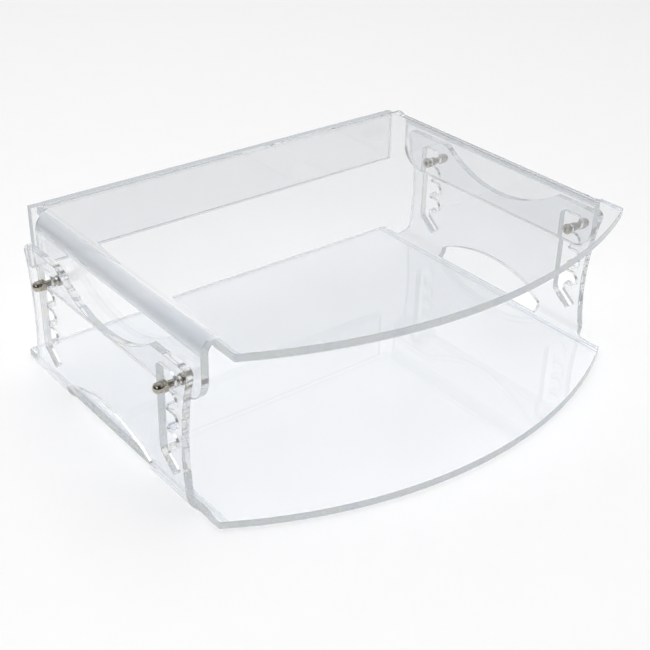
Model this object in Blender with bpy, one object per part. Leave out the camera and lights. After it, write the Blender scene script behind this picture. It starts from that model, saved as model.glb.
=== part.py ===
"""Letter tray: a clear bent sheet hung on four pins in the slotted side walls of a clear base tray.

World frame: metres, +Z up, X across the tray, +Y to the rear, origin at the bottom centre.
The constants below are in millimetres and are scaled once, where the vertices are written.
"""
import math

import bpy
from mathutils import Vector
from mathutils.geometry import delaunay_2d_cdt

MM = 0.001
GAP = 0.3                     # clearance left between touching pieces

# sheet
SHEET = 5.0                   # thickness of every clear piece
BEND_OUT = 11.5               # outer bend radius
BEND_MID = BEND_OUT - SHEET / 2
BEND_LEN = BEND_MID * math.pi / 2
BEND_STEPS = 9

# base tray: a floor with two upright walls
BASE_HALF = 162.0             # outer face of a wall
BASE_TANGENT = BASE_HALF - BEND_OUT
BASE_EDGE = 155.5             # side edge of the floor where there is no wall
BASE_FRONT = -134.3
BASE_REAR = 134.3
BASE_CORNER = -90.8           # where the bowed front edge meets the side edge
WALL_TOP = 94.5
WALL_FRONT = -71.1            # foot of the wall's front edge
WALL_FRONT_TOP = -75.1
WALL_FRONT_BOW = 6.4
WALL_REAR = 107.3
WALL_REAR_TOP = 111.4
WALL_REAR_BOW = 4.1
REAR_FOOT = 117.5
BASE_BEND_FRONT = -76.5       # the bend keeps its full angle between these two
BASE_BEND_REAR = 117.5
DIP_FRONT = -37.4
DIP_REAR = 69.3
DIP_DEPTH = 18.0
ARCH_FRONT = -31.0
ARCH_REAR = 68.0
ARCH_SHOULDER = 12.0
ARCH_RISE = 12.0

# seats in the walls; the rear slot is described and the front one is the same, PITCH further forward
PIN_REAR = 80.6
PITCH = 137.4
PIN_Z = 79.2
SEATS = 4
SEAT_DROP = 13.3
SEAT_R = 4.8
SEAT_TOP = 86.5
SEAT_FRONT = 75.8
LIP_Y = 85.2
LIP_RISE = 1.2
FINGER_Y = 86.0
CHANNEL_REAR = 94.0
TAIL = ((86.0, 31.6, 1.5), (75.5, 24.1, 1.2), (81.0, 19.0, 1.5), (93.1, 28.3, 2.5), (94.0, 31.5, 2.0))

# upper tray: a plate with two hanging flanges
PLATE_TOP = 113.0
PLATE_HALF = 154.0
PLATE_TANGENT = PLATE_HALF - BEND_OUT
PLATE_EDGE = 148.4
PLATE_FRONT = -134.3
PLATE_REAR = 115.7
PLATE_CORNER = -98.0
FLANGE_FRONT = -75.5
FLANGE_REAR = 108.6
FLANGE_BOTTOM = 69.0
FLANGE_R = 17.0
PIN_HOLE_R = 2.3

# strip standing behind the rear edge of the plate, level with its top and set a little to the left
PANEL_LEFT = -152.0
PANEL_RIGHT = 142.2
PANEL_FRONT = PLATE_REAR + GAP
PANEL_REAR = PANEL_FRONT + SHEET
PANEL_BOTTOM = 72.0

# pins: socket screw, spacer sleeve and domed nut
RING = 24
SHAFT_R = 2.0
HEAD_R = 3.5
HEAD_H = 2.6
SOCKET_AF = 3.0
SLEEVE_R = 2.9
NUT_AF = 7.0
NUT_OUT = 2.2
NUT_HEX_H = 3.2
NUT_H = 8.0
DOME_R = 3.2


def clear_scene():
    for obj in list(bpy.data.objects):
        bpy.data.objects.remove(obj, do_unlink=True)


def material(name, colour, roughness, metallic, alpha=1.0):
    mat = bpy.data.materials.new(name)
    mat.use_nodes = True
    shader = mat.node_tree.nodes["Principled BSDF"]
    shader.inputs["Base Color"].default_value = (*colour, 1.0)
    shader.inputs["Roughness"].default_value = roughness
    shader.inputs["Metallic"].default_value = metallic
    shader.inputs["Alpha"].default_value = alpha
    mat.diffuse_color = (*colour, alpha)
    return mat


def add_object(name, verts, faces, mat, origin, smooth_angle=30.0):
    """Make one mesh object from millimetre vertices, with its origin at the given world point."""
    base = Vector(origin)
    mesh = bpy.data.meshes.new(name)
    mesh.from_pydata([(Vector(v) - base) * MM for v in verts], [], faces)
    mesh.materials.append(mat)
    mesh.shade_smooth()
    mesh.set_sharp_from_angle(angle=math.radians(smooth_angle))
    mesh.update()
    obj = bpy.data.objects.new(name, mesh)
    obj.location = base * MM
    bpy.context.scene.collection.objects.link(obj)
    return obj


# ---- flat outlines ---------------------------------------------------------------------------

def bow(start, end, sag, steps):
    """Points strictly between start and end on an arc; sag is measured to the left of the travel."""
    p = Vector(start)
    q = Vector(end)
    half = (q - p).length / 2
    radius = (half * half + sag * sag) / (2 * abs(sag))
    along = (q - p).normalized()
    left = Vector((-along.y, along.x)) * math.copysign(1.0, sag)
    centre = (p + q) / 2 + left * (abs(sag) - radius)
    spread = math.asin(half / radius)
    points = []
    for i in range(1, steps):
        angle = spread * (2 * i / steps - 1)
        points.append(tuple(centre + (left * math.cos(angle) + along * math.sin(angle)) * radius))
    return points


def rounded(corners, step_angle=18.0):
    """Turn (x, y) and (x, y, radius) corners into a loop of points with filleted corners."""
    loop = []
    count = len(corners)
    for i, corner in enumerate(corners):
        here = Vector(corner[:2])
        radius = corner[2] if len(corner) > 2 else 0.0
        back = (Vector(corners[i - 1][:2]) - here).normalized()
        ahead = (Vector(corners[(i + 1) % count][:2]) - here).normalized()
        turn = math.pi - back.angle(ahead)
        if radius <= 0.0 or turn < 0.01:
            loop.append(tuple(here))
            continue
        reach = radius * math.tan(turn / 2)
        start = here + back * reach
        centre = here + (back + ahead).normalized() * (radius / math.cos(turn / 2))
        first = start - centre
        sense = math.copysign(1.0, back.y * ahead.x - back.x * ahead.y)
        steps = max(2, math.ceil(math.degrees(turn) / step_angle))
        for k in range(steps + 1):
            angle = sense * turn * k / steps
            spin = (math.cos(angle), math.sin(angle))
            loop.append((centre.x + first.x * spin[0] - first.y * spin[1],
                         centre.y + first.x * spin[1] + first.y * spin[0]))
    return loop


def mirrored(loop):
    return [(-x, y) for x, y in reversed(loop)]


def whole(half):
    """Close a right-hand half outline that runs from the front centre to the rear centre."""
    return half + mirrored(half[1:-1])


def base_s(z):
    """Distance across the flat pattern of the base for a height on its wall."""
    return BASE_TANGENT + BEND_LEN + z - BEND_OUT


def plate_s(z):
    return PLATE_TANGENT + BEND_LEN + PLATE_TOP - z - BEND_OUT


def base_outline():
    top = base_s(WALL_TOP)
    foot = (BASE_EDGE, WALL_FRONT)
    head = (top, WALL_FRONT_TOP)
    rear_head = (top, WALL_REAR_TOP)
    rear_foot = (base_s(14.9), WALL_REAR)
    front = bow((-BASE_EDGE, BASE_CORNER), (BASE_EDGE, BASE_CORNER), BASE_FRONT - BASE_CORNER, 36)
    corners = front[17:] + [(BASE_EDGE, BASE_CORNER, 1.5), (*foot, 5.0)]
    corners += bow(foot, head, WALL_FRONT_BOW, 6)
    corners += [(*head, 4.5), (top, DIP_FRONT)]
    corners += bow((top, DIP_FRONT), (top, DIP_REAR), DIP_DEPTH, 16)
    corners += [(top, DIP_REAR), (*rear_head, 4.5)]
    corners += bow(rear_head, rear_foot, WALL_REAR_BOW, 6)
    corners += [(*rear_foot, 3.0), (BASE_EDGE, REAR_FOOT, 3.0), (BASE_EDGE, BASE_REAR, 1.5)]
    corners += [(0.0, BASE_REAR)]
    return whole(rounded(corners))


def arch_hole():
    shoulder = base_s(ARCH_SHOULDER)
    corners = [(BASE_EDGE, ARCH_FRONT, 0.5), (shoulder, ARCH_FRONT, 2.5)]
    corners += bow((shoulder, ARCH_FRONT), (shoulder, ARCH_REAR), -ARCH_RISE, 12)
    corners += [(shoulder, ARCH_REAR, 0.8), (BASE_EDGE, ARCH_REAR, 0.5)]
    return rounded(corners)


def slot_hole(shift):
    """Channel with four round-ended seats opening forward and an angled seat at its foot."""
    corners = [(CHANNEL_REAR, SEAT_TOP, 3.0)]
    for i in range(SEATS):
        roof = SEAT_TOP - i * SEAT_DROP
        seat = roof - 2 * SEAT_R
        if i:
            corners.append((FINGER_Y, roof, 1.2))
        corners.append((SEAT_FRONT, roof, SEAT_R - 0.01))
        corners.append((SEAT_FRONT, seat, SEAT_R - 0.01))
        corners.append((PIN_REAR + 0.4, seat))
        corners.append((LIP_Y, seat + LIP_RISE, 1.0))
    corners += TAIL
    return [(base_s(z), y + shift) for y, z in rounded(corners)]


def plate_outline():
    bottom = plate_s(FLANGE_BOTTOM)
    front = bow((-PLATE_EDGE, PLATE_CORNER), (PLATE_EDGE, PLATE_CORNER), PLATE_FRONT - PLATE_CORNER, 36)
    corners = front[17:] + [(PLATE_EDGE, PLATE_CORNER, 1.5), (PLATE_EDGE, FLANGE_FRONT, 1.0)]
    corners += [(bottom, FLANGE_FRONT, FLANGE_R), (bottom, FLANGE_REAR, FLANGE_R)]
    corners += [(PLATE_EDGE, FLANGE_REAR, 1.0), (PLATE_EDGE, PLATE_REAR, 0.5), (0.0, PLATE_REAR)]
    return whole(rounded(corners))


def pin_hole(y):
    centre = plate_s(PIN_Z)
    turns = [2 * math.pi * i / RING for i in range(RING)]
    return [(centre + PIN_HOLE_R * math.cos(t), y + PIN_HOLE_R * math.sin(t)) for t in turns]


# ---- bent sheets -----------------------------------------------------------------------------

def bend_strength(y, front, rear, fade):
    """1 beside a wall, easing to 0 over the flat tongues in front of it and behind it."""
    past = max(front - y, y - rear, 0.0) / fade
    past = min(past, 1.0)
    return 1.0 - past * past * (3.0 - 2.0 * past)


def bent_point(u, y, offset, tangent, strength):
    """Place a flat-pattern point, offset above the middle of a sheet lying on z = 0."""
    run = abs(u) - tangent
    if run <= 0.0:
        return u, y, SHEET / 2 + offset
    radius = BEND_MID / max(strength, 0.001)
    arc = min(run, BEND_LEN)
    angle = arc / radius
    straight = run - arc
    x = tangent + radius * math.sin(angle) + straight * math.cos(angle) - offset * math.sin(angle)
    z = SHEET / 2 + radius * (1 - math.cos(angle)) + straight * math.sin(angle) + offset * math.cos(angle)
    return math.copysign(x, u), y, z


def inside(point, loop):
    x, y = point
    odd = False
    for (x0, y0), (x1, y1) in zip(loop, loop[1:] + loop[:1]):
        if (y0 > y) != (y1 > y) and x < (x1 - x0) * (y - y0) / (y1 - y0) + x0:
            odd = not odd
    return odd


def triangulate(outline, holes, guides):
    """Triangles of the flat pattern, split along the guide lines."""
    points = []
    edges = []
    for loop in [outline] + holes:
        first = len(points)
        points += loop
        edges += [(first + i, first + (i + 1) % len(loop)) for i in range(len(loop))]
    for start, end in guides:
        edges.append((len(points), len(points) + 1))
        points += [start, end]
    flat, _, faces, _, _, _ = delaunay_2d_cdt([Vector(p) for p in points], edges, [], 0, 0.001)
    kept = []
    for face in faces:
        centre = sum((flat[i] for i in face), Vector((0.0, 0.0))) / len(face)
        if inside(centre, outline) and not any(inside(centre, hole) for hole in holes):
            kept.append(tuple(face))
    used = sorted({i for face in kept for i in face})
    index = {old: new for new, old in enumerate(used)}
    return [tuple(flat[i]) for i in used], [tuple(index[i] for i in face) for face in kept]


def bend_guides(tangent, edge, front, rear, fade):
    """Lines along both bends, and short cross lines where a bend eases away."""
    guides = []
    for side in (-1, 1):
        for k in range(BEND_STEPS + 1):
            u = side * (tangent + BEND_LEN * k / BEND_STEPS)
            guides.append(((u, -150.0), (u, 150.0)))
        for k in range(5):
            for y in (front - fade * k / 4, rear + fade * k / 4):
                guides.append(((side * (tangent - 0.5), y), (side * (edge + 1.0), y)))
    return guides


def sheet_faces(triangles, count):
    """Upper and lower skins plus the walls between them; lower vertices follow the upper ones."""
    faces = []
    seen = {}
    for a, b, c in triangles:
        faces.append((a, b, c))
        faces.append((c + count, b + count, a + count))
        for edge in ((a, b), (b, c), (c, a)):
            seen[edge] = True
    for a, b in seen:
        if (b, a) not in seen:
            faces.append((b, a, a + count, b + count))
    return faces


def bent_sheet(name, mat, outline, holes, tangent, edge, front, rear, fade, hang_from, origin):
    """One sheet bent along two lines; hang_from is None when the walls go up, else the top height."""
    guides = bend_guides(tangent, edge, front, rear, fade)
    flat, triangles = triangulate(outline, holes, guides)
    verts = []
    for offset in (SHEET / 2, -SHEET / 2):
        for u, y in flat:
            verts.append(bent_point(u, y, offset, tangent, bend_strength(y, front, rear, fade)))
    faces = sheet_faces(triangles, len(flat))
    if hang_from is not None:
        verts = [(x, y, hang_from - z) for x, y, z in verts]
        faces = [tuple(reversed(face)) for face in faces]
    return add_object(name, verts, faces, mat, origin)


def lower_tray(mat):
    holes = [slot_hole(0.0), slot_hole(-PITCH), arch_hole()]
    holes += [mirrored(hole) for hole in holes]
    return bent_sheet("lower_tray", mat, base_outline(), holes, BASE_TANGENT, BASE_EDGE,
                      BASE_BEND_FRONT, BASE_BEND_REAR, 12.0, None, (0.0, 0.0, 0.0))


def upper_tray(mat):
    holes = [pin_hole(PIN_REAR), pin_hole(PIN_REAR - PITCH)]
    holes += [mirrored(hole) for hole in holes]
    return bent_sheet("upper_tray", mat, plate_outline(), holes, PLATE_TANGENT, PLATE_EDGE,
                      FLANGE_FRONT, FLANGE_REAR, 6.0, PLATE_TOP, (0.0, PIN_REAR, PIN_Z))


def rear_panel(mat):
    corners = [(PANEL_LEFT, PANEL_BOTTOM, 1.2), (PANEL_RIGHT, PANEL_BOTTOM, 1.2),
               (PANEL_RIGHT, PLATE_TOP), (PANEL_LEFT, PLATE_TOP)]
    loop = rounded(corners)
    count = len(loop)
    verts = [(x, PANEL_FRONT, z) for x, z in loop] + [(x, PANEL_REAR, z) for x, z in loop]
    faces = [tuple(range(count)), tuple(reversed(range(count, 2 * count)))]
    for i in range(count):
        j = (i + 1) % count
        faces.append((j, i, i + count, j + count))
    return add_object("rear_panel", verts, faces, mat, (0.0, PANEL_FRONT, PLATE_TOP))


# ---- pins ------------------------------------------------------------------------------------

def ring_points(x, radius, hexagonal):
    """One ring round the X axis; a hexagonal ring takes its radius as half the width across flats."""
    points = []
    for i in range(RING):
        angle = 2 * math.pi * i / RING
        reach = radius
        if hexagonal:
            reach = radius / math.cos((angle + math.pi / 6) % (math.pi / 3) - math.pi / 6)
        points.append((x, reach * math.cos(angle), reach * math.sin(angle)))
    return points


def turned(name, mat, profile, hollow, centre, side, smooth_angle=30.0):
    """Body turned about X from (x, radius, hexagonal) rings; x runs outwards from the middle of the tray."""
    verts = []
    faces = []
    for x, radius, hexagonal in profile:
        verts += ring_points(x, radius, hexagonal)
    rings = len(profile)
    for k in range(rings if hollow else rings - 1):
        low = k * RING
        high = (k + 1) % rings * RING
        for i in range(RING):
            j = (i + 1) % RING
            faces.append((low + i, low + j, high + j, high + i))
    if not hollow:
        faces.append(tuple(reversed(range(RING))))
        faces.append(tuple(range((rings - 1) * RING, rings * RING)))
    x0, y0, z0 = centre
    verts = [(side * (x0 + x), y0 + y, z0 + z) for x, y, z in verts]
    if side < 0:
        faces = [tuple(reversed(face)) for face in faces]
    return add_object(name, verts, faces, mat, (side * x0, y0, z0), smooth_angle)


def screw(name, mat, centre, side):
    """Socket cap screw whose head bears on the inside of a flange; x is measured from the sheet face."""
    face = -SHEET - GAP
    tip = BASE_HALF - PLATE_HALF + NUT_OUT + 5.0
    profile = [(face - HEAD_H + 1.6, SOCKET_AF / 2, True),
               (face - HEAD_H + 0.15, SOCKET_AF / 2, True),
               (face - HEAD_H, SOCKET_AF / 2 + 0.15, True),
               (face - HEAD_H, HEAD_R - 0.4, False),
               (face - HEAD_H + 0.4, HEAD_R, False),
               (face, HEAD_R, False),
               (face, SHAFT_R, False),
               (tip - 0.5, SHAFT_R, False),
               (tip, SHAFT_R - 0.5, False)]
    return turned(name, mat, profile, False, centre, side)


def sleeve(name, mat, centre, side):
    """Spacer between a flange and the wall beside it."""
    inner = GAP
    outer = BASE_HALF - SHEET - PLATE_HALF - GAP
    bore = SHAFT_R + GAP
    profile = [(inner, bore, False), (inner, SLEEVE_R, False), (outer, SLEEVE_R, False), (outer, bore, False)]
    return turned(name, mat, profile, True, centre, side)


def dome_nut(name, mat, centre, side):
    """Domed nut outside a wall, with its bore open towards the wall."""
    face = BASE_HALF - PLATE_HALF + NUT_OUT
    bore = SHAFT_R + GAP
    profile = [(face + 5.4, 0.4, False), (face + 5.4, bore, False), (face, bore, False),
               (face, 3.1, False), (face + 0.35, NUT_AF / 2, True),
               (face + NUT_HEX_H - 0.35, NUT_AF / 2, True), (face + NUT_HEX_H, DOME_R, False)]
    rise = NUT_H - NUT_HEX_H
    straight = rise - DOME_R
    for k in range(7):
        angle = math.pi / 2 * k / 6.3
        profile.append((face + NUT_HEX_H + straight + DOME_R * math.sin(angle), DOME_R * math.cos(angle), False))
    return turned(name, mat, profile, False, centre, side)


def pins(mat):
    made = []
    for end, y in (("front", PIN_REAR - PITCH), ("rear", PIN_REAR)):
        for side, hand in ((-1, "left"), (1, "right")):
            centre = (PLATE_HALF, y, PIN_Z)
            made.append(screw("screw_%s_%s" % (end, hand), mat, centre, side))
            made.append(sleeve("sleeve_%s_%s" % (end, hand), mat, centre, side))
            made.append(dome_nut("dome_nut_%s_%s" % (end, hand), mat, centre, side))
    return made


def ride_on(children, parent):
    """Parent pieces without moving them."""
    bpy.context.view_layer.update()
    for obj in children:
        obj.parent = parent
        obj.matrix_parent_inverse = parent.matrix_world.inverted()


def build():
    clear_scene()
    clear = material("clear_acrylic", (0.88, 0.90, 0.92), 0.05, 0.0, 0.35)
    clear_upper = material("clear_acrylic_upper", (0.88, 0.90, 0.92), 0.05, 0.0, 0.35)
    clear_panel = material("clear_acrylic_panel", (0.88, 0.90, 0.92), 0.05, 0.0, 0.35)
    nickel = material("polished_nickel", (0.72, 0.70, 0.66), 0.12, 1.0)
    lower_tray(clear)
    tray = upper_tray(clear_upper)
    ride_on([rear_panel(clear_panel)] + pins(nickel), tray)


build()
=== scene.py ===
"""Looks of the letter tray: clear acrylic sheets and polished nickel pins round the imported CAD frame."""
import math

import bpy
from mathutils import Matrix, Vector
from mathutils.geometry import delaunay_2d_cdt


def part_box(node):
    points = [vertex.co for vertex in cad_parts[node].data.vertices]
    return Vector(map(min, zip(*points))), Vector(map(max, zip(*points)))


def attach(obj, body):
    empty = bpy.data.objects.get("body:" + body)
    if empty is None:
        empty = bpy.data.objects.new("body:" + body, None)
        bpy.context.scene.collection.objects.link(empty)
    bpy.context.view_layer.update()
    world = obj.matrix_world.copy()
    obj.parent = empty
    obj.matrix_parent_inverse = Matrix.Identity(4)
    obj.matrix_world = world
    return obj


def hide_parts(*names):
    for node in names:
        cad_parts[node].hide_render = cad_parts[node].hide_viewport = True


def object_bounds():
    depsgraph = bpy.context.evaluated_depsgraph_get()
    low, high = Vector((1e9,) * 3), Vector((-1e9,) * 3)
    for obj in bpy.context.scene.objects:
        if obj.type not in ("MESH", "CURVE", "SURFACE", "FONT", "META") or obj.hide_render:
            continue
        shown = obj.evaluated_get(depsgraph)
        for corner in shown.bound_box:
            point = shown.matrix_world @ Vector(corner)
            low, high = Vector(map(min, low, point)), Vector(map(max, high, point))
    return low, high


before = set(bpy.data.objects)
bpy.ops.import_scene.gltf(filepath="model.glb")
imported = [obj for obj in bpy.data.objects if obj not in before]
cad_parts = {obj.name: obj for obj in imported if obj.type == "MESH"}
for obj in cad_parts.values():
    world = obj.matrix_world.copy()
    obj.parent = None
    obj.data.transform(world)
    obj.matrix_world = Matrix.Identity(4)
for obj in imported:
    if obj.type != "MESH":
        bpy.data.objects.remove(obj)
CAD_LOW, CAD_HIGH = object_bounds()

MM = 0.001
BASE_LOW, BASE_HIGH = [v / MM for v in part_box("lower_tray")]
PLATE_LOW, PLATE_HIGH = [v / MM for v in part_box("upper_tray")]
PANEL_LOW, PANEL_HIGH = [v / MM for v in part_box("rear_panel")]

# sheet, in millimetres
SHEET = 5.0
CHAMFER = 0.3
BEND_OUT = 11.5
BEND_MID = BEND_OUT - SHEET / 2
BEND_LEN = BEND_MID * math.pi / 2
BEND_STEPS = 22
BASE_PAINTED_BAND = (0.0, 1.9)          # the part of a bend painted greyer as a painted reflection of the curve, from and to, past the tangent line
PLATE_PAINTED_BAND = (3.3, BEND_LEN)
GUARD = 0.5                     # keeps the shading of the flats from leaning into the bends
FADE_STEPS = 8
FAR = 1000.0                    # beyond every edge of the tray
# the third slot is a bend's grey band, a painted reflection
FLAT, EDGE, PAINTED_BAND, PAINTED_UPRIGHT = range(4)            # material slots of a bent sheet

# base tray
BASE_TANGENT = BASE_HIGH.x - BEND_OUT
BASE_EDGE = 155.5
BASE_FRONT = BASE_LOW.y
BASE_REAR = BASE_HIGH.y
BASE_CORNER = -90.8
WALL_TOP = BASE_HIGH.z
WALL_FRONT = -71.1
WALL_FRONT_TOP = -75.1
WALL_FRONT_BOW = 6.4
WALL_REAR = 107.3
WALL_REAR_TOP = 111.4
WALL_REAR_BOW = 4.1
REAR_FOOT = 117.5
REAR_FOOT_Z = 14.9
BASE_BEND_FRONT = -76.5
BASE_BEND_REAR = 117.5
BASE_FADE = 12.0                # length over which a bend eases away past a wall
DIP_FRONT = -37.4
DIP_REAR = 69.3
DIP_DEPTH = 18.0
ARCH_FRONT = -31.0
ARCH_REAR = 68.0
ARCH_SHOULDER = 12.0
ARCH_RISE = 12.0

# seats
PIN_REAR = 80.6
PITCH = 137.4
PIN_Z = 79.2
SEATS = 4
SEAT_DROP = 13.3
SEAT_R = 4.8
SEAT_TOP = 86.5
SEAT_FRONT = 75.8
LIP_Y = 85.2
LIP_RISE = 1.2
FINGER_Y = 86.0
CHANNEL_REAR = 94.0
TAIL = ((86.0, 31.6, 1.5), (75.5, 24.1, 1.2), (81.0, 19.0, 1.5), (93.1, 28.3, 2.5), (94.0, 31.5, 2.0))

# upper tray
PLATE_TOP = PLATE_HIGH.z
PLATE_HALF = PLATE_HIGH.x
PLATE_TANGENT = PLATE_HALF - BEND_OUT
PLATE_EDGE = 148.4
PLATE_FRONT = PLATE_LOW.y
PLATE_REAR = PLATE_HIGH.y
PLATE_CORNER = -98.0
FLANGE_FRONT = -75.5
FLANGE_REAR = 108.6
FLANGE_BOTTOM = PLATE_LOW.z
FLANGE_R = 17.0
PLATE_FADE = 6.0
PIN_HOLE_R = 2.3
PIN_HOLE_STEPS = 48

# pins
GAP = 0.3
SHAFT_R = 2.0
HEAD_R = 3.5
HEAD_H = 2.6
HEAD_ROUND = 0.45
SOCKET_AF = 3.0
SOCKET_DEEP = 1.6
SCREW_REACH = 5.0               # how far the screw goes into its nut
SLEEVE_R = 2.9
NUT_AF = 7.0
NUT_OUT = 2.2
NUT_HEX_H = 3.2
NUT_H = 8.0
NUT_BORE = 5.4
NUT_BEVEL = 0.7
DOME_R = 3.2
RING = 96
UNCUT = 9.0                     # radius larger than any hexagon it is cut by

# light and camera
ACRYLIC_IOR = 1.49
PIPED = (0.58, 0.61, 0.625)     # a painted glow standing in for light that has run a long way inside a sheet
STUDIO = (0.93, 0.935, 0.94)
AWAY = (0.63, 0.78, 0.0)        # level direction from the camera to the wall behind the tray
ROOM_SKY = ((0.0, 0.02), (0.30, 0.04), (0.70, 0.05), (0.90, 0.08), (0.97, 0.50), (1.0, 1.0))
WALL_SKY = ((0.0, 0.05), (0.12, 0.30), (0.30, 0.85), (0.60, 0.95), (0.80, 0.85), (1.0, 1.0))
FLOOR_HALF = 4.0
FLOOR_DROP = 0.0002
CAMERA_PLACE = (-0.4373, -0.5252, 0.4307)       # from the middle of the tray's foot
CAMERA_TARGET = (-0.0222, -0.0132, 0.0464)
CAMERA_ROLL = 1.48
CAMERA_LENS = 67.38


# ---- flat outlines ---------------------------------------------------------------------------

def bow(start, end, sag, steps, clear=0.0):
    """Points strictly between start and end on an arc, sag to the left; none within clear of an end."""
    p = Vector(start)
    q = Vector(end)
    half = (q - p).length / 2
    radius = (half * half + sag * sag) / (2 * abs(sag))
    along = (q - p).normalized()
    left = Vector((-along.y, along.x)) * math.copysign(1.0, sag)
    centre = (p + q) / 2 + left * (abs(sag) - radius)
    spread = math.asin(half / radius)
    points = []
    for i in range(1, steps):
        angle = spread * (2 * i / steps - 1)
        point = centre + (left * math.cos(angle) + along * math.sin(angle)) * radius
        if (point - p).length >= clear and (point - q).length >= clear:
            points.append(tuple(point))
    return points


def rounded(corners, step_angle=6.0):
    """Turn (x, y) and (x, y, radius) corners into a loop of points with filleted corners."""
    loop = []
    count = len(corners)
    for i, corner in enumerate(corners):
        here = Vector(corner[:2])
        radius = corner[2] if len(corner) > 2 else 0.0
        back = (Vector(corners[i - 1][:2]) - here).normalized()
        ahead = (Vector(corners[(i + 1) % count][:2]) - here).normalized()
        turn = math.pi - back.angle(ahead)
        if radius <= 0.0 or turn < 0.01:
            loop.append(tuple(here))
            continue
        start = here + back * radius * math.tan(turn / 2)
        centre = here + (back + ahead).normalized() * (radius / math.cos(turn / 2))
        first = start - centre
        sense = math.copysign(1.0, back.y * ahead.x - back.x * ahead.y)
        steps = max(3, math.ceil(math.degrees(turn) / step_angle))
        for k in range(steps + 1):
            angle = sense * turn * k / steps
            c = math.cos(angle)
            s = math.sin(angle)
            loop.append((centre.x + first.x * c - first.y * s, centre.y + first.x * s + first.y * c))
    return loop


def mirrored(loop):
    return [(-x, y) for x, y in reversed(loop)]


def whole(half):
    """Close a right-hand half outline that runs from the front centre to the rear centre."""
    return half + mirrored(half[1:-1])


def base_s(z):
    """Distance across the flat pattern of the base for a height on its wall."""
    return BASE_TANGENT + BEND_LEN + z - BEND_OUT


def plate_s(z):
    return PLATE_TANGENT + BEND_LEN + PLATE_TOP - z - BEND_OUT


def front_bow(edge, corner, front):
    """Right half of a bowed front edge, from its middle to the side edge."""
    steps = 96
    points = bow((-edge, corner), (edge, corner), front - corner, steps, 2.5)
    return [p for p in points if p[0] > -1e-6]


def base_outline():
    top = base_s(WALL_TOP)
    foot = (BASE_EDGE, WALL_FRONT)
    head = (top, WALL_FRONT_TOP)
    rear_head = (top, WALL_REAR_TOP)
    rear_foot = (base_s(REAR_FOOT_Z), WALL_REAR)
    corners = front_bow(BASE_EDGE, BASE_CORNER, BASE_FRONT)
    corners += [(BASE_EDGE, BASE_CORNER, 1.5), (*foot, 5.0)]
    corners += bow(foot, head, WALL_FRONT_BOW, 24, 9.0)
    corners += [(*head, 4.5), (top, DIP_FRONT)]
    corners += bow((top, DIP_FRONT), (top, DIP_REAR), DIP_DEPTH, 48)
    corners += [(top, DIP_REAR), (*rear_head, 4.5)]
    corners += bow(rear_head, rear_foot, WALL_REAR_BOW, 24, 9.5)
    corners += [(*rear_foot, 3.0), (BASE_EDGE, REAR_FOOT, 3.0), (BASE_EDGE, BASE_REAR, 1.5)]
    corners += [(0.0, BASE_REAR)]
    return whole(rounded(corners))


def arch_hole():
    shoulder = base_s(ARCH_SHOULDER)
    corners = [(BASE_EDGE, ARCH_FRONT, 0.5), (shoulder, ARCH_FRONT, 2.5)]
    corners += bow((shoulder, ARCH_FRONT), (shoulder, ARCH_REAR), -ARCH_RISE, 40, 3.0)
    corners += [(shoulder, ARCH_REAR, 0.8), (BASE_EDGE, ARCH_REAR, 0.5)]
    return rounded(corners)


def slot_hole(shift):
    """Channel with four round-ended seats opening forward and an angled seat at its foot."""
    corners = [(CHANNEL_REAR, SEAT_TOP, 3.0)]
    for i in range(SEATS):
        roof = SEAT_TOP - i * SEAT_DROP
        seat = roof - 2 * SEAT_R
        if i:
            corners.append((FINGER_Y, roof, 1.2))
        corners.append((SEAT_FRONT, roof, SEAT_R - 0.01))
        corners.append((SEAT_FRONT, seat, SEAT_R - 0.01))
        corners.append((PIN_REAR + 0.4, seat))
        corners.append((LIP_Y, seat + LIP_RISE, 1.0))
    corners += TAIL
    return [(base_s(z), y + shift) for y, z in rounded(corners)]


def plate_outline():
    bottom = plate_s(FLANGE_BOTTOM)
    corners = front_bow(PLATE_EDGE, PLATE_CORNER, PLATE_FRONT)
    corners += [(PLATE_EDGE, PLATE_CORNER, 1.5), (PLATE_EDGE, FLANGE_FRONT, 1.0)]
    corners += [(bottom, FLANGE_FRONT, FLANGE_R), (bottom, FLANGE_REAR, FLANGE_R)]
    corners += [(PLATE_EDGE, FLANGE_REAR, 1.0), (PLATE_EDGE, PLATE_REAR, 0.5), (0.0, PLATE_REAR)]
    return whole(rounded(corners))


def pin_hole(y):
    centre = plate_s(PIN_Z)
    turns = [2 * math.pi * i / PIN_HOLE_STEPS for i in range(PIN_HOLE_STEPS)]
    return [(centre + PIN_HOLE_R * math.cos(t), y + PIN_HOLE_R * math.sin(t)) for t in turns]


# ---- bent sheets -----------------------------------------------------------------------------

def area(loop):
    return sum(a[0] * b[1] - b[0] * a[1] for a, b in zip(loop, loop[1:] + loop[:1])) / 2


def moved_in(loop, distance, hole):
    """The loop moved into the material, point by point along its mitres."""
    sign = math.copysign(1.0, area(loop))
    if hole:
        sign = -sign
    moved = []
    count = len(loop)
    for i in range(count):
        before = Vector(loop[i]) - Vector(loop[i - 1])
        after = Vector(loop[(i + 1) % count]) - Vector(loop[i])
        n = sign * (Vector((-before.y, before.x)).normalized() + Vector((-after.y, after.x)).normalized())
        n.normalize()
        lean = max(0.4, n.dot(sign * Vector((-after.y, after.x)).normalized()))
        moved.append(tuple(Vector(loop[i]) + n * (distance / lean)))
    return moved


def bend_strength(y, front, rear, fade):
    """1 beside a wall, easing to 0 over the flat tongues in front of it and behind it."""
    past = min(max(front - y, y - rear, 0.0) / fade, 1.0)
    return 1.0 - past * past * (3.0 - 2.0 * past)


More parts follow.
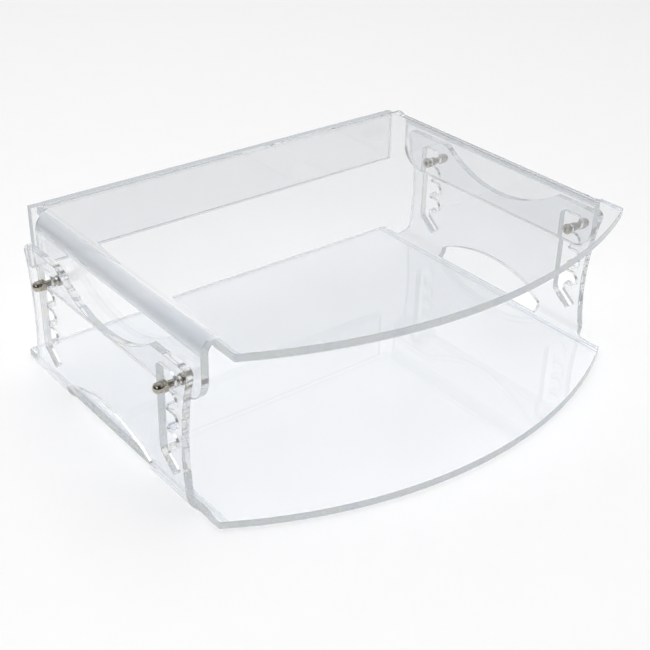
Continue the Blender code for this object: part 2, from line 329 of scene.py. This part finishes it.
def bent_point(u, y, offset, tangent, strength):
    """Place a flat-pattern point, offset above the middle of a sheet lying on z = 0."""
    run = abs(u) - tangent
    if run <= 0.0:
        return u, y, SHEET / 2 + offset
    radius = BEND_MID / max(strength, 0.001)
    arc = min(run, BEND_LEN)
    angle = arc / radius
    straight = run - arc
    x = tangent + radius * math.sin(angle) + straight * math.cos(angle) - offset * math.sin(angle)
    z = SHEET / 2 + radius * (1 - math.cos(angle)) + straight * math.sin(angle) + offset * math.cos(angle)
    return math.copysign(x, u), y, z


def inside(point, loop):
    x, y = point
    odd = False
    for (x0, y0), (x1, y1) in zip(loop, loop[1:] + loop[:1]):
        if (y0 > y) != (y1 > y) and x < (x1 - x0) * (y - y0) / (y1 - y0) + x0:
            odd = not odd
    return odd


def triangulate(outline, holes, guides):
    """Triangles of the flat pattern, split along the guide lines."""
    points = []
    edges = []
    for loop in [outline] + holes:
        first = len(points)
        points += loop
        edges += [(first + i, first + (i + 1) % len(loop)) for i in range(len(loop))]
    for start, end in guides:
        edges.append((len(points), len(points) + 1))
        points += [start, end]
    flat, _, faces, _, _, _ = delaunay_2d_cdt([Vector(p) for p in points], edges, [], 0, 0.001)
    boxes = []
    for hole in holes:
        xs = [p[0] for p in hole]
        ys = [p[1] for p in hole]
        boxes.append((min(xs), max(xs), min(ys), max(ys), hole))
    kept = []
    for face in faces:
        centre = sum((flat[i] for i in face), Vector((0.0, 0.0))) / len(face)
        if not inside(centre, outline):
            continue
        near = [b[4] for b in boxes if b[0] < centre.x < b[1] and b[2] < centre.y < b[3]]
        if not any(inside(centre, hole) for hole in near):
            kept.append(tuple(face))
    used = sorted({i for face in kept for i in face})
    index = {old: new for new, old in enumerate(used)}
    return [tuple(flat[i]) for i in used], [tuple(index[i] for i in face) for face in kept]


def bend_guides(tangent, edge, front, rear, fade):
    """Lines along both bends, and short cross lines where a bend eases away."""
    guides = []
    steps = [-GUARD] + [BEND_LEN * k / BEND_STEPS for k in range(BEND_STEPS + 1)] + [BEND_LEN + GUARD]
    for side in (-1, 1):
        for run in steps:
            guides.append(((side * (tangent + run), -150.0), (side * (tangent + run), 150.0)))
        for k in range(FADE_STEPS + 1):
            for y in (front - fade * k / FADE_STEPS, rear + fade * k / FADE_STEPS):
                guides.append(((side * (tangent - GUARD), y), (side * (edge + 1.0), y)))
    return guides


def rim_normals(flat, rim):
    """Outward direction and mitre length at each rim vertex of the flat pattern."""
    out = {}
    for a, b in rim:
        along = Vector(flat[b]) - Vector(flat[a])
        normal = Vector((along.y, -along.x)).normalized()
        for i in (a, b):
            out.setdefault(i, []).append(normal)
    grown = {}
    for i, normals in out.items():
        mean = sum(normals, Vector((0.0, 0.0))).normalized()
        grown[i] = Vector(flat[i]) + mean * (CHAMFER / max(0.4, mean.dot(normals[0])))
    return grown


def face_slot(run, painted_span):
    """Material slot for a point this far past the tangent line."""
    if run < painted_span[0]:
        return FLAT
    if run < painted_span[1]:
        # painted reflection: this stretch of the bend takes the darker, less clear painted grey
        return PAINTED_BAND
    # painted light: past the bend an upright takes a lighter copy of the flat acrylic
    return FLAT if run < BEND_LEN else PAINTED_UPRIGHT


def solid_sheet(flat, triangles, tangent, painted_span, glued):
    """Skins, chamfers and edge faces as (u, y, offset) vertices, with a material slot for each face.

    An edge at y = glued stands against another sheet and stays as clear as a flat.
    """
    count = len(flat)
    verts = [(u, y, SHEET / 2) for u, y in flat] + [(u, y, -SHEET / 2) for u, y in flat]
    faces = []
    slots = []
    edges = set()
    for a, b, c in triangles:
        if (flat[b][0] - flat[a][0]) * (flat[c][1] - flat[a][1]) \
                < (flat[c][0] - flat[a][0]) * (flat[b][1] - flat[a][1]):
            b, c = c, b
        faces += [(a, b, c), (c + count, b + count, a + count)]
        run = abs(flat[a][0] + flat[b][0] + flat[c][0]) / 3 - tangent
        slots += [face_slot(run, painted_span)] * 2
        edges.update(((a, b), (b, c), (c, a)))
    rim = [(a, b) for a, b in edges if (b, a) not in edges]
    grown = rim_normals(flat, rim)
    high = {}
    low = {}
    for i, (u, y) in grown.items():
        high[i] = len(verts)
        verts.append((u, y, SHEET / 2 - CHAMFER))
        low[i] = len(verts)
        verts.append((u, y, CHAMFER - SHEET / 2))
    for a, b in sorted(rim):
        faces.append((b, a, high[a], high[b]))
        faces.append((high[b], high[a], low[a], low[b]))
        faces.append((low[b], low[a], a + count, b + count))
        kind = FLAT if min(flat[a][1], flat[b][1]) > glued - 0.5 else EDGE
        slots += [kind, kind, kind]
    return verts, faces, slots


def add_piece(name, verts, faces, mats, slots=None, sharp=30.0):
    mesh = bpy.data.meshes.new(name)
    mesh.from_pydata([Vector(v) * MM for v in verts], [], faces)
    for mat in mats:
        mesh.materials.append(mat)
    if slots:
        mesh.polygons.foreach_set("material_index", slots)
    mesh.shade_smooth()
    mesh.set_sharp_from_angle(angle=math.radians(sharp))
    mesh.update()
    obj = bpy.data.objects.new(name, mesh)
    bpy.context.scene.collection.objects.link(obj)
    return obj


def bent_sheet(name, mats, outline, holes, tangent, edge, front, rear, fade, painted_span,
               hang_from=None, glued=FAR):
    """One sheet bent along two lines; hang_from is None when the walls go up, else the top height."""
    outline = moved_in(outline, CHAMFER, False)
    holes = [moved_in(hole, CHAMFER, True) for hole in holes]
    flat, triangles = triangulate(outline, holes, bend_guides(tangent, edge, front, rear, fade))
    loose, faces, slots = solid_sheet(flat, triangles, tangent, painted_span, glued)
    verts = [bent_point(u, y, off, tangent, bend_strength(y, front, rear, fade)) for u, y, off in loose]
    if hang_from is not None:
        verts = [(x, y, hang_from - z) for x, y, z in verts]
        faces = [tuple(reversed(face)) for face in faces]
    return add_piece(name, verts, faces, mats, slots)


def make_base(mats):
    holes = [slot_hole(0.0), slot_hole(-PITCH), arch_hole()]
    holes += [mirrored(hole) for hole in holes]
    obj = bent_sheet("base_sheet", mats, base_outline(), holes, BASE_TANGENT, BASE_EDGE,
                     BASE_BEND_FRONT, BASE_BEND_REAR, BASE_FADE, BASE_PAINTED_BAND)
    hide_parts("lower_tray")
    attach(obj, "base")


def make_plate(mats):
    holes = [pin_hole(PIN_REAR), pin_hole(PIN_REAR - PITCH)]
    holes += [mirrored(hole) for hole in holes]
    obj = bent_sheet("plate_sheet", mats, plate_outline(), holes, PLATE_TANGENT, PLATE_EDGE,
                     FLANGE_FRONT, FLANGE_REAR, PLATE_FADE, PLATE_PAINTED_BAND, PLATE_TOP, PLATE_REAR)
    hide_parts("upper_tray")
    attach(obj, "tray")


def make_panel(mats):
    """The strip behind the rear edge of the plate, chamfered all round like the sheets."""
    low, high = PANEL_LOW, PANEL_HIGH
    corners = [(low.x, low.z, 1.2), (high.x, low.z, 1.2), (high.x, high.z, 0.4), (low.x, high.z, 0.4)]
    loop = rounded(corners, 15.0)
    inner = moved_in(loop, CHAMFER, False)
    count = len(loop)
    verts = [(x, low.y, z) for x, z in inner] + [(x, low.y + CHAMFER, z) for x, z in loop]
    verts += [(x, high.y - CHAMFER, z) for x, z in loop] + [(x, high.y, z) for x, z in inner]
    faces = [tuple(range(count)), tuple(reversed(range(3 * count, 4 * count)))]
    slots = [FLAT, FLAT]
    for ring in range(3):
        for i in range(count):
            j = (i + 1) % count
            a = ring * count
            faces.append((a + j, a + i, a + i + count, a + j + count))
            slots.append(EDGE)
    obj = add_piece("panel_strip", verts, faces, mats, slots)
    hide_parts("rear_panel")
    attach(obj, "tray")


# ---- pins ------------------------------------------------------------------------------------

def hex_reach(angle, half_flats):
    return half_flats / math.cos((angle + math.pi / 6) % (math.pi / 3) - math.pi / 6)


def turned(name, mat, profile, hollow, centre, side, sharp=32.0):
    """Body turned about X from (x, radius, hexagon or None) rings; x runs outwards from the middle."""
    verts = []
    faces = []
    for x, radius, flats in profile:
        for i in range(RING):
            angle = 2 * math.pi * i / RING
            reach = radius if flats is None else min(radius, hex_reach(angle, flats))
            verts.append((x, reach * math.cos(angle), reach * math.sin(angle)))
    rings = len(profile)
    for k in range(rings if hollow else rings - 1):
        low = k * RING
        high = (k + 1) % rings * RING
        for i in range(RING):
            j = (i + 1) % RING
            faces.append((low + i, low + j, high + j, high + i))
    if not hollow:
        faces.append(tuple(reversed(range(RING))))
        faces.append(tuple(range((rings - 1) * RING, rings * RING)))
    x0, y0, z0 = centre
    verts = [(side * (x0 + x), y0 + y, z0 + z) for x, y, z in verts]
    if side < 0:
        faces = [tuple(reversed(face)) for face in faces]
    return add_piece(name, verts, faces, [mat], None, sharp)


def screw_profile():
    face = -SHEET - GAP
    head = face - HEAD_H
    tip = BASE_HIGH.x - PLATE_HALF + NUT_OUT + SCREW_REACH
    socket = SOCKET_AF / 2
    foot = head + SOCKET_DEEP
    profile = [(foot + 0.15, 0.3, None), (foot, socket * 0.95, None), (foot, UNCUT, socket),
               (head + 0.15, UNCUT, socket), (head, UNCUT, socket + 0.12)]
    for k in range(6):
        angle = math.pi / 2 * k / 5
        out = HEAD_ROUND * (1 - math.cos(angle))
        profile.append((head + out, HEAD_R - HEAD_ROUND * (1 - math.sin(angle)), None))
    profile += [(face - 0.15, HEAD_R, None), (face, HEAD_R - 0.15, None), (face, SHAFT_R + 0.15, None),
                (face + 0.15, SHAFT_R, None), (tip - 0.5, SHAFT_R, None), (tip, SHAFT_R - 0.5, None)]
    return profile


def sleeve_profile():
    inner = GAP
    outer = BASE_HIGH.x - SHEET - PLATE_HALF - GAP
    bore = SHAFT_R + GAP
    edge = 0.2
    return [(inner, bore, None), (inner, SLEEVE_R - edge, None), (inner + edge, SLEEVE_R, None),
            (outer - edge, SLEEVE_R, None), (outer, SLEEVE_R - edge, None), (outer, bore, None)]


def nut_profile():
    face = BASE_HIGH.x - PLATE_HALF + NUT_OUT
    bore = SHAFT_R + GAP
    flats = NUT_AF / 2
    inner = flats - 0.1
    grow = hex_reach(math.pi / 6, flats) - inner
    profile = [(face + NUT_BORE, 0.4, None), (face + NUT_BORE, bore, None), (face + 0.3, bore, None),
               (face, bore + 0.3, None), (face, inner, None)]
    bevel = [(NUT_BEVEL * k / 6, inner + grow * k / 6) for k in range(7)]
    profile += [(face + x, radius, flats) for x, radius in bevel]
    profile += [(face + NUT_HEX_H - x, radius, flats) for x, radius in reversed(bevel)]
    profile.append((face + NUT_HEX_H, DOME_R + 0.12, None))
    profile.append((face + NUT_HEX_H + 0.08, DOME_R + 0.02, None))
    start = face + NUT_H - DOME_R
    for k in range(25):
        angle = math.pi / 2 * k / 24.4
        profile.append((start + DOME_R * math.sin(angle), DOME_R * math.cos(angle), None))
    return profile


def make_pins(mats):
    kinds = (("screw", screw_profile(), False, "nickel_screw"),
             ("sleeve", sleeve_profile(), True, "nickel_sleeve"),
             ("dome_nut", nut_profile(), False, "nickel_nut"))
    for end, y in (("front", PIN_REAR - PITCH), ("rear", PIN_REAR)):
        for side, hand in ((-1, "left"), (1, "right")):
            for kind, profile, hollow, slot in kinds:
                node = "%s_%s_%s" % (kind, end, hand)
                obj = turned(node + "_v", mats[kind], profile, hollow, (PLATE_HALF, y, PIN_Z), side)
                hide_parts(node)
                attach(obj, "tray")


# ---- materials -------------------------------------------------------------------------------

def new_material(name):
    mat = bpy.data.materials.new(name)
    mat.use_nodes = True
    tree = mat.node_tree
    return mat, tree, tree.nodes["Principled BSDF"], tree.nodes["Material Output"]


def noise(tree, scale, detail=3.0, stretch=(1.0, 1.0, 1.0), roughness=0.5):
    coords = tree.nodes.new("ShaderNodeTexCoord")
    mapping = tree.nodes.new("ShaderNodeMapping")
    mapping.inputs["Scale"].default_value = stretch
    texture = tree.nodes.new("ShaderNodeTexNoise")
    texture.inputs["Scale"].default_value = scale
    texture.inputs["Detail"].default_value = detail
    texture.inputs["Roughness"].default_value = roughness
    tree.links.new(coords.outputs["Object"], mapping.inputs["Vector"])
    tree.links.new(mapping.outputs["Vector"], texture.inputs["Vector"])
    return texture.outputs["Fac"]


def ranged(tree, value, low, high, start=0.3, end=0.7):
    remap = tree.nodes.new("ShaderNodeMapRange")
    remap.inputs["From Min"].default_value = start
    remap.inputs["From Max"].default_value = end
    remap.inputs["To Min"].default_value = low
    remap.inputs["To Max"].default_value = high
    tree.links.new(value, remap.inputs["Value"])
    return remap.outputs["Result"]


def bumped(tree, shader, height, strength, distance):
    bump = tree.nodes.new("ShaderNodeBump")
    bump.inputs["Strength"].default_value = strength
    bump.inputs["Distance"].default_value = distance
    tree.links.new(height, bump.inputs["Height"])
    tree.links.new(bump.outputs["Normal"], shader.inputs["Normal"])


def deep_inside(tree):
    """1 for a ray that has bounced inside a sheet for so long that it would otherwise end black."""
    path = tree.nodes.new("ShaderNodeLightPath")
    many = tree.nodes.new("ShaderNodeMath")
    many.operation = "GREATER_THAN"
    many.inputs[1].default_value = 3.5
    tree.links.new(path.outputs["Glossy Depth"], many.inputs[0])
    far = tree.nodes.new("ShaderNodeMath")
    far.operation = "GREATER_THAN"
    far.inputs[1].default_value = 10.5
    tree.links.new(path.outputs["Ray Depth"], far.inputs[0])
    either = tree.nodes.new("ShaderNodeMath")
    either.operation = "MAXIMUM"
    tree.links.new(many.outputs[0], either.inputs[0])
    tree.links.new(far.outputs[0], either.inputs[1])
    return either.outputs[0]


def acrylic(name, tints, clear, rough_low, rough_high, shadow, wave_strength, scale):
    """Clear acrylic: refracts for the eye, and lets lamps through as a pale filter."""
    mat, tree, shader, output = new_material(name)
    patches = tree.nodes.new("ShaderNodeValToRGB")
    elements = patches.color_ramp.elements
    elements[0].position = 0.3
    elements[1].position = 0.7
    for k in range(1, len(tints) - 1):
        elements.new(0.3 + 0.4 * k / (len(tints) - 1))
    for element, tint in zip(elements, tints):
        element.color = (*tint, 1.0)
    tree.links.new(noise(tree, scale * 0.25, 2.0), patches.inputs["Fac"])
    tree.links.new(patches.outputs["Color"], shader.inputs["Base Color"])
    shader.inputs["Transmission Weight"].default_value = clear
    shader.inputs["IOR"].default_value = ACRYLIC_IOR
    field = noise(tree, scale, 4.0, (1.0, 1.0, 1.0), 0.6)
    tree.links.new(ranged(tree, field, rough_low, rough_high), shader.inputs["Roughness"])
    bumped(tree, shader, noise(tree, scale * 0.35, 2.0), wave_strength, 0.0002)
    # painted light: a glow in the PIPED colour where a ray has bounced too long inside a sheet
    piped = tree.nodes.new("ShaderNodeEmission")
    piped.inputs["Color"].default_value = (*PIPED, 1.0)
    solid = tree.nodes.new("ShaderNodeMixShader")
    tree.links.new(deep_inside(tree), solid.inputs[0])
    tree.links.new(shader.outputs["BSDF"], solid.inputs[1])
    tree.links.new(piped.outputs["Emission"], solid.inputs[2])
    path = tree.nodes.new("ShaderNodeLightPath")
    filtered = tree.nodes.new("ShaderNodeBsdfTransparent")
    filtered.inputs["Color"].default_value = (*shadow, 1.0)
    mix = tree.nodes.new("ShaderNodeMixShader")
    tree.links.new(path.outputs["Is Shadow Ray"], mix.inputs[0])
    tree.links.new(solid.outputs["Shader"], mix.inputs[1])
    tree.links.new(filtered.outputs["BSDF"], mix.inputs[2])
    tree.links.new(mix.outputs["Shader"], output.inputs["Surface"])
    return mat


def nickel(name, colour, rough_low, rough_high):
    """Polished nickel with faint darker warm streaks round the axis, a painted reflection in its colour;
    the same streaks vary its roughness and bump.
    """
    mat, tree, shader, _ = new_material(name)
    shader.inputs["Metallic"].default_value = 1.0
    field = noise(tree, 500.0, 5.0, (1.0, 0.25, 0.25), 0.65)
    # painted reflection: the darker warm end of the streaks
    ramp = tree.nodes.new("ShaderNodeValToRGB")
    elements = ramp.color_ramp.elements
    elements[0].position = 0.36
    elements[0].color = (colour[0] * 0.72, colour[1] * 0.67, colour[2] * 0.56, 1.0)
    elements[1].position = 0.62
    elements[1].color = (*colour, 1.0)
    tree.links.new(field, ramp.inputs["Fac"])
    tree.links.new(ramp.outputs["Color"], shader.inputs["Base Color"])
    tree.links.new(ranged(tree, field, rough_low, rough_high), shader.inputs["Roughness"])
    bumped(tree, shader, field, 0.08, 0.00005)
    return mat


def paper_white():
    mat, tree, shader, _ = new_material("floor_white")
    shader.inputs["Roughness"].default_value = 0.9
    field = noise(tree, 40.0, 6.0)
    ramp = tree.nodes.new("ShaderNodeValToRGB")
    ramp.color_ramp.elements[0].color = (0.93, 0.93, 0.935, 1.0)
    ramp.color_ramp.elements[1].color = (0.95, 0.95, 0.95, 1.0)
    tree.links.new(field, ramp.inputs["Fac"])
    tree.links.new(ramp.outputs["Color"], shader.inputs["Base Color"])
    bumped(tree, shader, field, 0.05, 0.0002)
    return mat


# ---- stage -----------------------------------------------------------------------------------

def make_floor():
    height = CAD_LOW[2] - FLOOR_DROP
    corners = ((-1, -1), (1, -1), (1, 1), (-1, 1))
    verts = [(FLOOR_HALF * x, FLOOR_HALF * y, height) for x, y in corners]
    mesh = bpy.data.meshes.new("floor")
    mesh.from_pydata(verts, [], [(0, 1, 2, 3)])
    mesh.materials.append(paper_white())
    floor = bpy.data.objects.new("floor", mesh)
    bpy.context.scene.collection.objects.link(floor)


def area_lamp(name, place, target, size, energy):
    light = bpy.data.lights.new(name, "AREA")
    light.shape = "RECTANGLE"
    light.size, light.size_y = size
    light.energy = energy
    lamp = bpy.data.objects.new(name, light)
    lamp.location = place
    lamp.rotation_euler = (Vector(target) - Vector(place)).to_track_quat("-Z", "Y").to_euler()
    bpy.context.scene.collection.objects.link(lamp)
    return lamp


def sky_ramp(tree, height, stops):
    """Grey levels by height, the lowest of them slightly warm."""
    ramp = tree.nodes.new("ShaderNodeValToRGB")
    elements = ramp.color_ramp.elements
    elements[0].position, level = stops[0]
    elements[0].color = (level, level * 0.97, level * 0.94, 1.0)
    elements[1].position, level = stops[-1]
    elements[1].color = (level, level, level, 1.0)
    for place, level in stops[1:-1]:
        elements.new(place).color = (level, level, level, 1.0)
    tree.links.new(height, ramp.inputs["Fac"])
    return ramp.outputs["Color"]


def make_world():
    """Mirrors see a pale wall behind the tray and a dim room in front of it; the eye sees pale studio."""
    world = bpy.data.worlds.new("studio")
    world.use_nodes = True
    bpy.context.scene.world = world
    tree = world.node_tree
    back = tree.nodes["Background"]
    coords = tree.nodes.new("ShaderNodeTexCoord")
    split = tree.nodes.new("ShaderNodeSeparateXYZ")
    tree.links.new(coords.outputs["Generated"], split.inputs[0])
    away = tree.nodes.new("ShaderNodeVectorMath")
    away.operation = "DOT_PRODUCT"
    away.inputs[1].default_value = AWAY
    tree.links.new(coords.outputs["Generated"], away.inputs[0])
    side = ranged(tree, away.outputs["Value"], 0.0, 1.0, -0.25, 0.45)
    room = sky_ramp(tree, split.outputs["Z"], ROOM_SKY)
    wall = sky_ramp(tree, split.outputs["Z"], WALL_SKY)
    mix = tree.nodes.new("ShaderNodeMix")
    mix.data_type = "RGBA"
    tree.links.new(side, mix.inputs["Factor"])
    tree.links.new(room, mix.inputs["A"])
    tree.links.new(wall, mix.inputs["B"])
    path = tree.nodes.new("ShaderNodeLightPath")
    seen = tree.nodes.new("ShaderNodeMix")
    seen.data_type = "RGBA"
    seen.inputs["B"].default_value = (*STUDIO, 1.0)
    tree.links.new(path.outputs["Is Camera Ray"], seen.inputs["Factor"])
    tree.links.new(mix.outputs["Result"], seen.inputs["A"])
    tree.links.new(seen.outputs["Result"], back.inputs["Color"])


def make_camera():
    """Long lens from the front left, a little above, level to within a degree and a half."""
    foot = (Vector(CAD_LOW) + Vector(CAD_HIGH)) / 2
    foot.z = 0.0
    target = Vector(CAMERA_TARGET) + foot
    place = Vector(CAMERA_PLACE) + foot
    ahead = (target - place).normalized()
    right = ahead.cross(Vector((0.0, 0.0, 1.0))).normalized()
    up = right.cross(ahead)
    roll = math.radians(CAMERA_ROLL)
    x = right * math.cos(roll) + up * math.sin(roll)
    y = up * math.cos(roll) - right * math.sin(roll)
    data = bpy.data.cameras.new("camera")
    data.lens = CAMERA_LENS
    data.sensor_width = 36.0
    data.clip_start = 0.01
    camera = bpy.data.objects.new("camera", data)
    camera.matrix_world = Matrix.Translation(place) @ Matrix((x, y, -ahead)).transposed().to_4x4()
    bpy.context.scene.collection.objects.link(camera)
    bpy.context.scene.camera = camera


def make_lights():
    """A broad lamp overhead that mirrors do not see, and two small ones for the highlights."""
    overhead = area_lamp("overhead", (0.0, 0.2, 2.4), (0.0, 0.0, 0.0), (3.6, 3.6), 49.0)
    overhead.visible_glossy = False
    area_lamp("key", (-1.3, -0.9, 1.1), (0.0, 0.0, 0.05), (0.5, 0.5), 3.0)
    area_lamp("spark", (-1.6, -0.2, 1.5), (0.0, 0.0, 0.05), (0.4, 0.4), 2.5)


def make_sheets():
    face = acrylic("acrylic_face", ((0.862, 0.869, 0.880), (0.876, 0.883, 0.893)),
                   1.0, 0.0, 0.02, (0.955, 0.958, 0.962), 0.02, 60.0)
    # painted light: the same acrylic as the flats in a lighter tint and with a lighter shadow filter, for
    # how light falls on upright sheets; the flats keep the darker tint
    painted_upright = acrylic("acrylic_upright_painted_lighter", ((0.895, 0.905, 0.918), (0.910, 0.919, 0.930)),
                      1.0, 0.0, 0.02, (0.965, 0.968, 0.972), 0.02, 60.0)
    edge_tints = ((0.76, 0.79, 0.80), (0.88, 0.88, 0.82), (0.84, 0.85, 0.92), (0.74, 0.76, 0.78))
    edge = acrylic("acrylic_edge", edge_tints, 0.82, 0.04, 0.12, (0.90, 0.91, 0.92), 0.05, 400.0)
    # painted reflection: the bend's grey band, painted as a darker, less clear acrylic; the panel's rims
    # reuse it
    painted_grey = acrylic("acrylic_bend_painted_reflection", ((0.64, 0.68, 0.71), (0.70, 0.72, 0.75)),
                   0.68, 0.02, 0.06, (0.95, 0.955, 0.96), 0.05, 90.0)
    make_base([face, edge, painted_grey, painted_upright])
    make_plate([face, edge, painted_grey, painted_upright])
    make_panel([painted_upright, painted_grey])


make_camera()
make_sheets()
make_pins({"screw": nickel("nickel_screw", (0.44, 0.42, 0.37), 0.04, 0.12),
           "sleeve": nickel("nickel_sleeve", (0.52, 0.48, 0.41), 0.05, 0.15),
           "dome_nut": nickel("nickel_nut", (0.50, 0.48, 0.44), 0.03, 0.1)})
make_floor()
make_world()
make_lights()
bpy.context.scene.view_settings.view_transform = "Standard"
